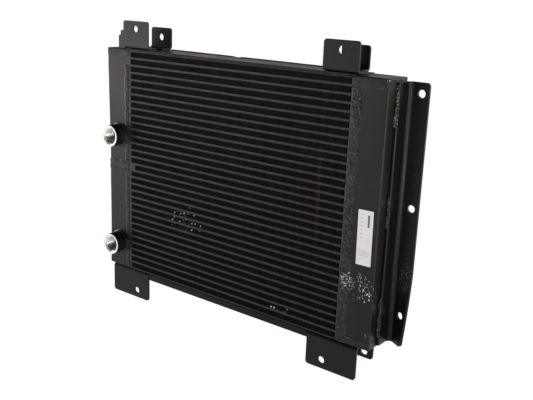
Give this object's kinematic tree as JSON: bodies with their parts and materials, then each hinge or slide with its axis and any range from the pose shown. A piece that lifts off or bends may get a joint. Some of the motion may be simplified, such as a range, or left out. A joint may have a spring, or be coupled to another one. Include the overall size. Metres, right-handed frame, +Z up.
{
  "type": "hydraulic oil cooler",
  "caption": "Bar-and-plate oil cooler: finned core between welded tanks, threaded ports on the front of one tank, bent mounting brackets above and below, and a drilled side angle.",
  "frame": {"origin": "centre of the bottom of the bounding box, level with the lower edges of the bottom front brackets", "axes": "+X along the core from the tank with the ports to the tank with the side angle, +Y from the front (port) face to the back, +Z up"},
  "size_m": [0.7287, 0.0936, 0.6102],
  "materials": {
    "black_paint": "satin",
    "core_bar_paint": "satin",
    "fin_paint": "matt",
    "bare_aluminium": "machined",
    "label_film": "satin"
  },
  "bodies": {
    "root": {"core_top_plate": "black_paint", "core_top_rear_strip": "black_paint", "core_bottom_plate": "black_paint", "core_bottom_rail": "black_paint", "left_tank_upper_shell": "black_paint", "left_tank_lower_shell": "black_paint", "left_tank_divider_plate": "black_paint", "left_tank_top_cap": "black_paint", "left_tank_bottom_cap": "black_paint", "right_tank_shell": "black_paint", "right_tank_top_cap": "black_paint", "right_tank_bottom_cap": "black_paint", "front_top_left_bracket": "black_paint", "front_top_right_bracket": "black_paint", "front_bottom_left_bracket": "black_paint", "front_bottom_right_bracket": "black_paint", "rear_top_left_bracket": "black_paint", "rear_top_right_bracket": "black_paint", "rear_bottom_left_bracket": "black_paint", "rear_bottom_right_bracket": "black_paint", "top_left_backing_plate": "black_paint", "side_mounting_angle": "black_paint", "upper_pass_passages": "core_bar_paint", "lower_pass_passages": "core_bar_paint", "pass_divider_bar": "core_bar_paint", "air_fin_row_01": "fin_paint", "air_fin_row_02": "fin_paint", "air_fin_row_03": "fin_paint", "air_fin_row_04": "fin_paint", "air_fin_row_05": "fin_paint", "air_fin_row_06": "fin_paint", "air_fin_row_07": "fin_paint", "air_fin_row_08": "fin_paint", "air_fin_row_09": "fin_paint", "air_fin_row_10": "fin_paint", "air_fin_row_11": "fin_paint", "air_fin_row_12": "fin_paint", "air_fin_row_13": "fin_paint", "air_fin_row_14": "fin_paint", "air_fin_row_15": "fin_paint", "air_fin_row_16": "fin_paint", "air_fin_row_17": "fin_paint", "air_fin_row_18": "fin_paint", "air_fin_row_19": "fin_paint", "air_fin_row_20": "fin_paint", "air_fin_row_21": "fin_paint", "air_fin_row_22": "fin_paint", "air_fin_row_23": "fin_paint", "air_fin_row_24": "fin_paint", "air_fin_row_25": "fin_paint", "air_fin_row_26": "fin_paint", "air_fin_row_27": "fin_paint", "air_fin_row_28": "fin_paint", "air_fin_row_29": "fin_paint", "air_fin_row_30": "fin_paint", "air_fin_row_31": "fin_paint", "air_fin_row_32": "fin_paint", "upper_port_boss": "bare_aluminium", "lower_port_boss": "bare_aluminium", "data_label": "label_film"}
  },
  "joints": []
}
